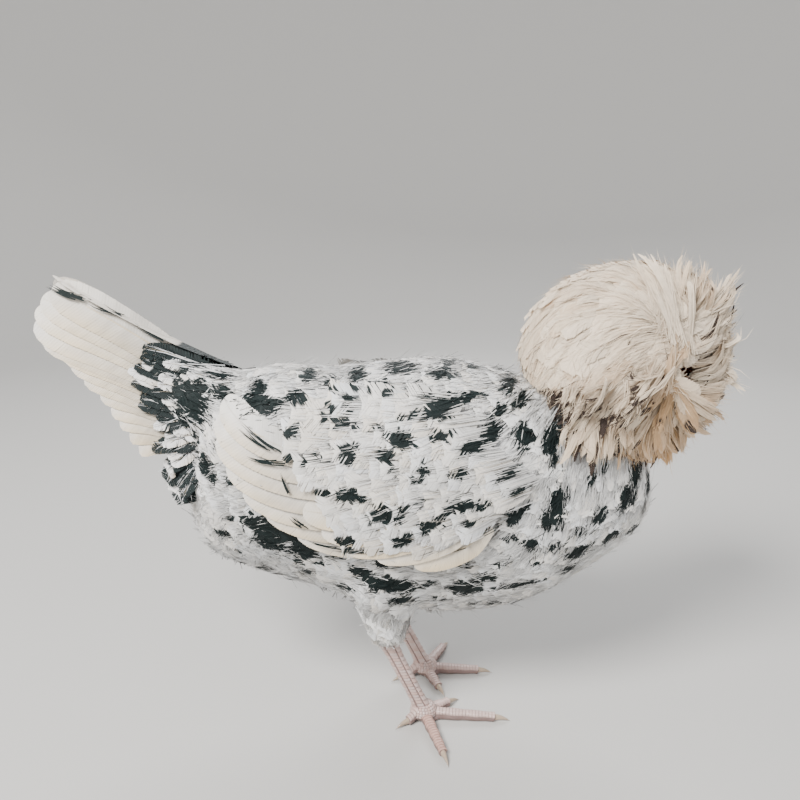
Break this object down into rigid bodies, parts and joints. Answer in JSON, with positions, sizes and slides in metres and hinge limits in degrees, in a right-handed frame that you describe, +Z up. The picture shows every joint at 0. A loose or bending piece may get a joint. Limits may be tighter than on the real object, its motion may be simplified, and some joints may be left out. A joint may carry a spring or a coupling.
{
  "type": "polish crested hen",
  "caption": "Standing crested hen at life size, mottled plumage, globe crest of long feathers, folded wings, raised tail.",
  "frame": {"origin": "on the floor under the middle of the hen's bounding box", "axes": "+X towards the beak, +Y towards the hen's left side, +Z up"},
  "size_m": [0.5294, 0.1686, 0.3657],
  "materials": {
    "plumage": "matte feathers",
    "crest": "matte feathers",
    "face": "bare skin",
    "lobe": "bare skin",
    "shank": "scaled skin",
    "horn": "satin horn",
    "eye": "wet gloss"
  },
  "bodies": {
    "root": {"beak_lower": "horn", "beak_upper": "horn", "claw_left_hind": "horn", "claw_left_inner": "horn", "claw_left_middle": "horn", "claw_left_outer": "horn", "claw_right_hind": "horn", "claw_right_inner": "horn", "claw_right_middle": "horn", "claw_right_outer": "horn", "comb": "face", "crest": "crest", "earlobe_left": "lobe", "earlobe_right": "lobe", "eye_left": "eye", "eye_right": "eye", "head": "face", "neck": "plumage", "shank_left": "shank", "shank_right": "shank", "tail": "plumage", "thigh_left": "plumage", "thigh_right": "plumage", "toe_left_hind": "shank", "toe_left_inner": "shank", "toe_left_middle": "shank", "toe_left_outer": "shank", "toe_right_hind": "shank", "toe_right_inner": "shank", "toe_right_middle": "shank", "toe_right_outer": "shank", "torso": "plumage", "wattle_left": "face", "wattle_right": "face", "wing_left": "plumage", "wing_right": "plumage"}
  },
  "joints": []
}
